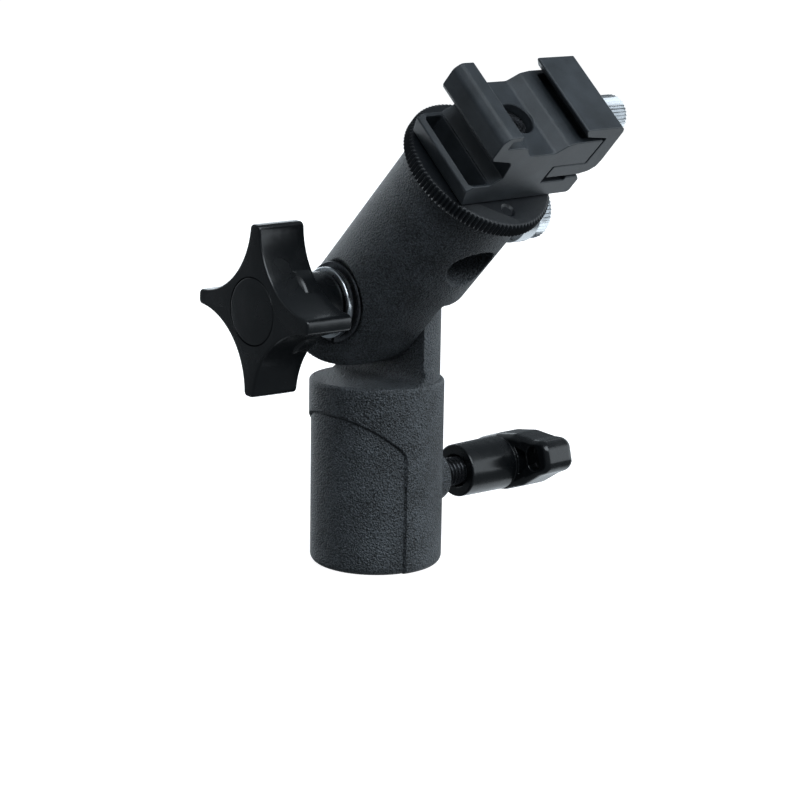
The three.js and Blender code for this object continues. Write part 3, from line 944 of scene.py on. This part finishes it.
def flared(outline, low, high, flare=0.3):
    """A cutter along Z whose mouth at the top opens out by a small chamfer."""
    wider = inset(outline, -flare)
    return stack("cutter", [(outline, low), (outline, high - flare), (wider, high), (wider, high + 1)])


def rectangle(x0, x1, y0, y1, radius):
    return rounded([(x0, y0, radius), (x1, y0, radius), (x1, y1, radius), (x0, y1, radius)], 4)


def pocket(near, far):
    """The open recess beside the shoe's left wall. It widens upwards, as a die-cast core does."""
    floor_z, top_z = 1.2, 4.92
    bottom = rectangle(-11.6, -8.7, near + 0.3, far - 0.3, 0.5)
    mouth = rectangle(-12.7, -8.4, near, far, 0.5)
    lip = inset(mouth, -0.2)
    return stack("cutter", [(bottom, floor_z), (mouth, top_z - 0.3), (lip, top_z), (lip, top_z + 1)])


def shoe_body():
    outline = rounded([
        (-12.0, 0, 0.5), (16.4, 0, 0.5), (16.9, 0.6, 0.3), (16.8, 3.8, 0.5), (15.8, 4.8, 0.5),
        (12.2, 4.8, 0.35), (12.6, 4.0, 0.3), (6.0, 4.0, 0.3), (6.0, 8.65, 0.3), (14.8, 8.65, 0.3),
        (14.8, 15.1, 0.4), (8.0, 15.0, 1.2), (5.8, 14.5, 1.4), (3.6, 12.5, 1.2),
        (-3.4, 12.5, 1.4), (-5.2, 14.6, 1.0), (-6.6, 15.1, 0.6), (-11.0, 15.1, 0.3),
        (-11.0, 17.2, 0.3), (-9.0, 17.2, 0.3), (-9.0, 18.3, 0.35), (-12.2, 18.3, 1.3),
        (-13.4, 16.9, 1.6), (-13.2, 12.9, 0.6), (-12.7, 12.1, 0.4), (-6.9, 11.0, 1.6),
        (-6.1, 6.8, 0.35), (-8.0, 4.9, 0.3), (-12.4, 4.9, 0.35), (-13.6, 3.9, 0.4)], 4)
    body = side_profile(prism("shoe_body", outline, -HALF, HALF, 0.2, 3))
    land = 1.1
    cut(body, pocket(-HALF + 0.7, HALF - 1.0))
    cut(body, flared(rectangle(9.3, 13.6, -HALF + land, HALF - land, 0.5), 13.0, 15.1, 0.2))
    cut(body, lathe("stud_hole", [(0, -1), (3.9, -1), (3.5, 0.5), (3.5, 12.3), (3.7, 12.55),
                                  (3.7, 14), (0, 14)], 96))
    cut(body, moved(turned_to(cylinder(JAW_HOLE_R, 4.4, 16), "+X"), z=SHOE_SCREW_Z))
    cut(body, moved(turned_to(cylinder(2.4, 13.8, 16), "+X"), z=SHOE_SCREW_Z))
    finish(body, "shoe_casting", SHOE, "shoe", "shoe_body", SATIN, 32,
           flat_faced=True)


def shoe_jaw():
    outline = rounded([
        (6.3, 5.4, 0.3), (15.6, 5.4, 2.0), (17.8, 6.0, 1.2), (19.1, 7.2, 0.9), (19.3, 9.0, 1.5),
        (18.7, 17.2, 0.6), (18.3, 17.9, 0.5), (17.4, 18.5, 0.4), (7.4, 18.5, 0.3), (9.3, 16.4, 0.5),
        (15.1, 15.6, 0.3), (15.1, 8.5, 0.3), (6.3, 8.5, 0.3)], 4)
    jaw = side_profile(prism("shoe_jaw", outline, -HALF, HALF, 0.2, 3))
    cut(jaw, moved(turned_to(cylinder(JAW_HOLE_R, 14, 21), "+X"), z=SHOE_SCREW_Z))
    finish(jaw, "shoe_sliding_jaw", SHOE, "jaw", "shoe_jaw", SATIN, 32,
           flat_faced=True)


def jaw_screw():
    low, high = extent("jaw_screw", SHOE)
    screw = threaded("jaw_screw", 1.5, 0.5, low.x, 14.0, tip=0.3)
    neck = lathe("neck", [(0, 13.5), (1.05, 13.5), (1.05, 14.8), (1.5, 15.0), (1.5, 20.0),
                          (2.8, 20.1), (2.8, 21.4), (0, 21.4)], 64)
    grip = knurled("grip", high.y, 34, 0.36, 21.0, high.x, 0.4)
    collar = lathe("collar", rounded([(0, high.x - 0.3), (2.9, high.x - 0.3), (2.9, high.x + 0.1, 0.2),
                                      (0, high.x + 0.1)], closed=False), 64)
    join(screw, neck, grip, collar)
    cut(screw, block(-0.6, 0.6, -5, 5, high.x - 1.5, high.x + 1))
    moved(turned_to(screw, "+X"), z=SHOE_SCREW_Z)
    finish(screw, "jaw_thumb_screw", SHOE, "jaw_knob", "jaw_screw", BRIGHT, 32)


def jaw_clip():
    low, high = extent("jaw_clip", SHOE)
    clip = lathe("jaw_clip", rounded([
        (1.35, low.x, 0.1), (high.y, low.x, 0.1), (high.y, high.x, 0.1), (1.35, high.x, 0.1)], 3),
        64, closed=True)
    cut(clip, block(0, 3, -0.7, 0.7, low.x - 1, high.x + 1))
    moved(turned_to(clip, "+X"), z=SHOE_SCREW_Z)
    finish(clip, "jaw_retaining_clip", SHOE, "jaw_knob", "jaw_clip", BLACK_STEEL, 35)


def build():
    socket_body()
    clamp_screw()
    clamp_handle()
    pad("clamp_pad", "clamp_brass_tip", BASE, "clamp_tip", CLAMP_Z)
    pivot_bolt()
    washers()
    spring_washer()
    star_knob()
    knob_insert()
    knob_cap()
    head_body()
    pad("umbrella_pad", "umbrella_brass_tip", HEAD, "umbrella_tip", UMBRELLA)
    umbrella_screw()
    top_stud()
    grub_screw()
    lock_disc()
    shoe_body()
    shoe_jaw()
    jaw_screw()
    jaw_clip()


# ---- stage, lights, camera ----
def floor():
    """A pale floor that curves up far away, so that no horizon shows from any side."""
    flat, bend = 1.2, 0.8
    curve = [math.radians(9 * k) for k in range(11)]
    profile = [(0, 0)] + [(flat + bend * math.sin(a), bend * (1 - math.cos(a))) for a in curve]
    piece = lathe("floor", profile, 96)
    pale = Surface("floor", (0.6, 0.6, 0.6), 0.6, specular=0.1)
    tone = pale.span(pale.noise(400, detail=3), 0.3, 0.7)
    pale.color(pale.mix(tone, (0.58, 0.58, 0.585), (0.62, 0.62, 0.62)))
    pale.shader.inputs["Emission Color"].default_value = (1, 1, 1, 1)
    pale.shader.inputs["Emission Strength"].default_value = 0.9
    piece.data.materials.append(pale.material)
    piece.data.shade_smooth()
    piece.visible_diffuse = False
    piece.visible_glossy = False
    piece.visible_shadow = False


def softbox(name, azimuth, elevation, distance, width, height, power, target=(0, 0, 0.05)):
    """An area light that looks at the target from a direction, in degrees, as the camera's is."""
    light = bpy.data.lights.new(name, "AREA")
    light.shape = "RECTANGLE"
    light.size = width
    light.size_y = height
    light.energy = power
    light.color = (0.86, 0.94, 1.0)
    lamp = bpy.data.objects.new(name, light)
    bpy.context.scene.collection.objects.link(lamp)
    away = Vector((
        math.sin(math.radians(azimuth)) * math.cos(math.radians(elevation)),
        -math.cos(math.radians(azimuth)) * math.cos(math.radians(elevation)),
        math.sin(math.radians(elevation)),
    ))
    lamp.location = Vector(target) + away * distance
    lamp.rotation_euler = away.to_track_quat("Z", "Y").to_euler()
    lamp.visible_camera = False


def surroundings():
    """A soft room: bright overhead, dimmer at the sides and dark below."""
    world = bpy.data.worlds.new("studio")
    world.use_nodes = True
    nodes = world.node_tree.nodes
    links = world.node_tree.links
    direction = nodes.new("ShaderNodeTexCoord")
    parts = nodes.new("ShaderNodeSeparateXYZ")
    ramp = nodes.new("ShaderNodeMapRange")
    ramp.inputs["From Min"].default_value = -0.6
    ramp.inputs["From Max"].default_value = 1.0
    ramp.inputs["To Min"].default_value = 0.16
    ramp.inputs["To Max"].default_value = 0.2
    links.new(direction.outputs["Generated"], parts.inputs["Vector"])
    links.new(parts.outputs["Z"], ramp.inputs["Value"])
    background = nodes["Background"]
    background.inputs["Color"].default_value = (0.8, 0.91, 1.0, 1)
    links.new(ramp.outputs["Result"], background.inputs["Strength"])
    bpy.context.scene.world = world
    bpy.context.scene.view_settings.view_transform = "Standard"


def camera():
    """The photographer's place: low, from the front left, with the head tilting to the right."""
    azimuth, elevation, roll = (math.radians(a) for a in (-42.2, 11.79, 0.93))
    lens = bpy.data.cameras.new("camera")
    lens.sensor_width = 36.0
    lens.lens = 91.4
    lens.clip_start = 0.01
    eye = bpy.data.objects.new("camera", lens)
    bpy.context.scene.collection.objects.link(eye)
    eye.location = (-0.26731, -0.30189, 0.11759)
    turn = Matrix.Rotation(azimuth, 4, "Z") @ Matrix.Rotation(math.pi / 2 - elevation, 4, "X")
    eye.matrix_world = Matrix.Translation(eye.location) @ turn @ Matrix.Rotation(roll, 4, "Z")
    bpy.context.scene.camera = eye


build()
floor()
surroundings()
softbox("front", -6, 45, 0.8, 1.0, 0.5, 7.2)
softbox("right", 52, 8, 0.9, 1.2, 0.6, 3.9)
softbox("left", -100, 45, 0.8, 0.5, 0.5, 0.3)
softbox("far_side", 105, 10, 0.8, 0.5, 0.5, 1.0)
softbox("low_right", 104, -42, 0.8, 0.7, 0.6, 1.3)
softbox("backdrop", 168, 5, 0.9, 1.0, 0.8, 4.6)
camera()
